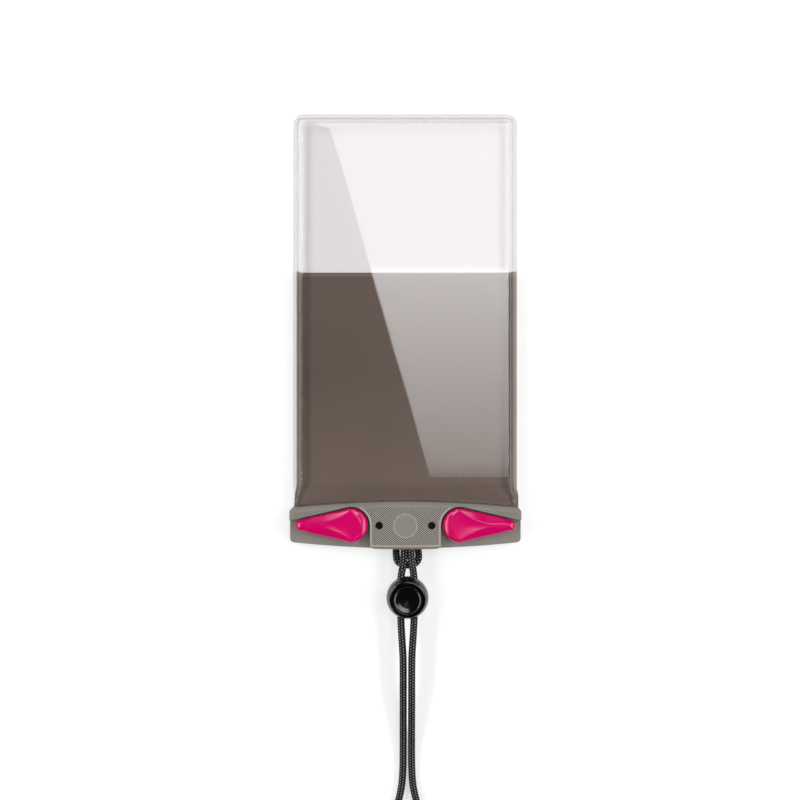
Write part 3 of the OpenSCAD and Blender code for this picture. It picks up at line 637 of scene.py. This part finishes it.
def makeBead():
    """Round bead: straight sides, quarter circles at the closed corners, ends that thin out and turn outwards."""
    r = pouch["bead"] / 2
    x = pouch["width"] / 2 - r
    bend = pouch["corner"] - r
    low, high = pouch["clampTop"] + 3.0, pouch["top"] - pouch["corner"]
    a = np.radians(np.linspace(0, 90, 16))
    sideLine = np.stack([np.full(90, x), np.linspace(low, high, 90, endpoint=False), np.full(90, pouch["weld"])], -1)
    corner = np.stack([x - bend + bend * np.cos(a), high + bend * np.sin(a), np.full(16, pouch["weld"])], -1)
    halfPath = np.concatenate([sideLine, corner])
    other = halfPath[::-1] * [-1, 1, 1]
    path = evenSteps(np.concatenate([halfPath, other]), 1.0)[0]
    fromEnd = np.minimum(np.arange(len(path)), np.arange(len(path))[::-1])
    path[:, 0] += np.sign(path[:, 0]) * 0.55 * (1 - smoothStep(fromEnd / 6.0))
    radius = r * (0.12 + 0.88 * smoothStep((fromEnd + 0.4) / 6.0))
    points, faces = tubeSurface(path, radius[:, None], 24)
    last = (len(path) - 1) * 24
    faces = faces.tolist() + [list(range(24)), [last + j for j in range(23, -1, -1)]]
    piece = addPiece("weldBead", points, faces, "clearBead", "case")
    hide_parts("front_film")


def makePanelFlange():
    """Edge of the back panel that runs on inside the bead to just short of its outer side, on both sides."""
    y = np.linspace(pouch["clampTop"] - 4.5, pouch["panelTop"], 90)[:, None]
    flare = 0.9 * (1 - smoothStep((y - pouch["clampTop"] - 1.5) / 6.0))
    near = pouch["width"] / 2 - pouch["bead"] - 0.5
    points, faces = [], []
    for side, reach in ((1, 2.4), (-1, 1.3)):
        x = near + np.array([[0.0, 0.5, 1.0]]) * (reach + flare)
        outer = np.stack([side * x, y + 0 * x, pouch["weld"] + 0.1 + 0 * x], -1)
        p, f = shell(outer, outer - [0, 0, 0.5])
        faces.append((f if side > 0 else f[:, ::-1]) + sum(len(q) for q in points))
        points.append(p)
    piece = addPiece("panelFlange", np.concatenate(points), np.concatenate(faces), "greyPanel", "case")
    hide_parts("back_panel")


makePouch()
makePanelFlange()
makeBead()
print("pouch made")


# Levers: outline of two circles joined by tangents, in millimetres about the pivot
lever = {"round": 7.85, "tip": 2.6, "length": 23.3, "pivot": (25.2, -90.85), "base": 9.35, "top": 5.7,
         "dish": 0.3, "flank": 0.5, "rows": 110, "columns": 71}


def leverHalfWidth(x):
    """Half width at x: big circle, straight tangent, small circle."""
    big, small, length = lever["round"], lever["tip"], lever["length"]
    sine = (big - small) / length
    cosine = np.sqrt(1 - sine ** 2)
    onBig = np.sqrt(np.maximum(big ** 2 - x ** 2, 0))
    onTip = np.sqrt(np.maximum(small ** 2 - (x - length) ** 2, 0))
    straight = (big - x * sine) / cosine
    return np.where(x < big * sine, onBig, np.where(x > length + small * sine, onTip, straight))


def leverDepthInside(x, y):
    """Distance from the outline: radius shrinks evenly along the axis from the big circle to the small one."""
    big, small, length = lever["round"], lever["tip"], lever["length"]
    sine = (big - small) / length
    cosine = np.sqrt(1 - sine ** 2)
    y = np.abs(y)
    along = x * cosine - y * sine
    toBig = big - np.hypot(x, y)
    toTip = small - np.hypot(x - length, y)
    toSide = big - (x * sine + y * cosine)
    return np.where(along < 0, toBig, np.where(along > length * cosine, toTip, toSide))


def leverTop(x, y):
    """Height: a hollow fan between two creases that spread from the ridge of the tip to the big circle, flanks that
    fall away evenly outside them, and a rolled edge, broad at both ends and narrow along the sides."""
    y = np.abs(y)
    fan = 1.1 + 6.1 * np.maximum(1 - x / 14, 0) ** 1.7
    beyond = y - fan
    flank = lever["flank"] * 0.5 * (np.sqrt(beyond ** 2 + 0.06) + beyond)
    flank = flank * smoothStep((x + 5) / 8) * (0.35 + 0.65 * smoothStep((25 - x) / 6))
    window = smoothStep((15 - x) / 9) * smoothStep((x + 6.5) / 9)
    hollow = lever["dish"] * (1 - np.clip(y / fan, 0, 1) ** 2) * window
    edge = 0.7 + 2.7 * smoothStep((1 - x) / 5) + 1.8 * smoothStep((x - 19) / 4)
    deep = np.clip(leverDepthInside(x, y), 0, edge)
    near = np.sqrt((1 - deep / edge) ** 2 + 0.01) - 0.1
    roll = edge * (0.42 * near + 0.45 * near ** 7)
    return lever["top"] - hollow - flank - roll


def makeLever(name, mirror, body, node):
    rowAngle = np.radians(np.linspace(2.5, 177.5, lever["rows"]))
    low, high = -lever["round"], lever["length"] + lever["tip"]
    x = ((low + high) / 2 - (high - low) / 2 * np.cos(rowAngle))[:, None]
    across = np.sin(np.radians(np.linspace(-90, 90, lever["columns"])))[None, :]
    y = across * leverHalfWidth(x)
    x = x + np.zeros_like(y)
    top = np.stack([x, y, leverTop(x, y)], -1)
    bottom = np.stack([x, y, np.zeros_like(x)], -1)
    points, faces = shell(top, bottom)
    points = points + [lever["pivot"][0], lever["pivot"][1], lever["base"]]
    if mirror:
        points = points * [-1, 1, 1]
        faces = faces[:, ::-1]
    piece = addPiece(name, points, faces, "leverPink", body)
    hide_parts(node)


makeLever("leverRight", False, "right_lever", "lever_right")
makeLever("leverLeft", True, "left_lever", "lever_left")


def dressNodes():
    plan = {"front_jaw": "jawRibbed", "rear_jaw": "jawGrey", "front_seal": "sealRubber", "rear_seal": "sealRubber",
            "cam_post_left": "blackPlastic",
            "cam_post_right": "blackPlastic", "lanyard_bail": "blackPlastic", "lock_body": "lockBlack",
            "lock_button": "lockBlack", "lock_spring": "springWire"}
    for name, look in plan.items():
        slots = nodes[name].material_slots
        for entry in slots:
            entry.material = looks[look]


dressNodes()


# Floor and light
studio = {"floor": 0.6, "floorGlow": 0.5, "ambient": 0.15, "mirror": 0.012, "backdrop": 1.0}


def makeWorld():
    """Pale to the camera, soft white on diffuse surfaces, dark in reflections."""
    world = bpy.data.worlds.new("studio")
    world.use_nodes = True
    n, l = world.node_tree.nodes, world.node_tree.links
    n.clear()
    path = addNode(n, "ShaderNodeLightPath")
    backdrop = addNode(n, "ShaderNodeBackground", {"Strength": studio["backdrop"]})
    ambient = addNode(n, "ShaderNodeBackground", {"Strength": studio["ambient"]})
    mirror = addNode(n, "ShaderNodeBackground", {"Strength": studio["mirror"]})
    lit = addNode(n, "ShaderNodeMixShader")
    seen = addNode(n, "ShaderNodeMixShader")
    out = addNode(n, "ShaderNodeOutputWorld")
    for background in (backdrop, ambient, mirror):
        background.inputs["Color"].default_value = (1.0, 1.0, 1.0, 1.0)
    l.new(path.outputs["Is Glossy Ray"], lit.inputs["Fac"])
    l.new(ambient.outputs["Background"], lit.inputs[1])
    l.new(mirror.outputs["Background"], lit.inputs[2])
    l.new(path.outputs["Is Camera Ray"], seen.inputs["Fac"])
    l.new(lit.outputs["Shader"], seen.inputs[1])
    l.new(backdrop.outputs["Background"], seen.inputs[2])
    l.new(seen.outputs["Shader"], out.inputs["Surface"])
    world.cycles.sampling_method = "NONE"
    bpy.context.scene.world = world


def stagePlane(name, corners, material):
    mesh = bpy.data.meshes.new(name)
    mesh.from_pydata(corners, [], [tuple(range(len(corners)))])
    mesh.materials.append(material)
    plane = bpy.data.objects.new(name, mesh)
    bpy.context.scene.collection.objects.link(plane)
    return plane


def makeFloor():
    edge = 3.0
    material, n, l = newMaterial("paleFloor")
    surface = addNode(n, "ShaderNodeBsdfPrincipled", {
        "Base Color": (*shade(studio["floor"]), 1.0), "Roughness": 1.0, "Specular IOR Level": 0.0,
        "Emission Color": (1.0, 1.0, 1.0, 1.0), "Emission Strength": studio["floorGlow"]})
    shape = addNode(n, "ShaderNodeNewGeometry")
    clear = addNode(n, "ShaderNodeBsdfTransparent")
    oneSided = addNode(n, "ShaderNodeMixShader")
    out = addNode(n, "ShaderNodeOutputMaterial")
    l.new(shape.outputs["Backfacing"], oneSided.inputs["Fac"])
    l.new(surface.outputs["BSDF"], oneSided.inputs[1])
    l.new(clear.outputs["BSDF"], oneSided.inputs[2])
    l.new(oneSided.outputs["Shader"], out.inputs["Surface"])
    low = -0.05 * mm
    stagePlane("floor", [(-edge, -edge, low), (edge, -edge, low), (edge, edge, low), (-edge, edge, low)], material)


def makeGlarePanel():
    """Emitter above the camera whose slanted edge the flat front sheet mirrors; it brightens to the far right."""
    height = 0.9
    material, n, l = newMaterial("glare")
    where = addNode(n, "ShaderNodeTexCoord")
    parts = addNode(n, "ShaderNodeSeparateXYZ")
    rise = addNode(n, "ShaderNodeMapRange", {"From Min": -0.15, "From Max": 0.3})
    level = ramp(n, [(0.03, shade(0.0)), (0.10, shade(0.36)), (0.30, shade(0.62)), (0.59, shade(1.0)),
                     (0.61, shade(0.38)), (1.0, shade(0.38))])
    light = addNode(n, "ShaderNodeEmission", {"Strength": 5.2})
    out = addNode(n, "ShaderNodeOutputMaterial")
    l.new(where.outputs["Object"], parts.inputs["Vector"])
    l.new(parts.outputs["Y"], rise.inputs["Value"])
    l.new(rise.outputs["Result"], level.inputs["Fac"])
    l.new(level.outputs["Color"], light.inputs["Color"])
    l.new(light.outputs["Emission"], out.inputs["Surface"])
    corners = [(-0.105, 0.36, height), (0.0355, -0.132, height), (0.45, -0.132, height), (0.45, 0.36, height)]
    stagePlane("glarePanel", corners, material).visible_camera = False


def areaLight(name, place, target, size, power):
    data = bpy.data.lights.new(name, "AREA")
    data.shape = "RECTANGLE"
    data.size, data.size_y = size
    data.energy = power
    lamp = bpy.data.objects.new(name, data)
    lamp.location = place
    lamp.visible_camera = False
    lamp.rotation_euler = (Vector(target) - Vector(place)).to_track_quat("-Z", "Y").to_euler()
    bpy.context.scene.collection.objects.link(lamp)


def makeStudio():
    makeWorld()
    makeFloor()
    makeGlarePanel()
    areaLight("stripLeft", (-0.72, -0.02, 0.72), (0, -0.04, 0), (1.7, 0.22), 7.0)
    areaLight("stripRight", (0.72, -0.02, 0.72), (0, -0.04, 0), (1.7, 0.22), 7.0)
    areaLight("stripTop", (-0.2, 0.85, 0.75), (0, -0.06, 0), (1.0, 0.08), 1.2)


makeStudio()
print("studio made")
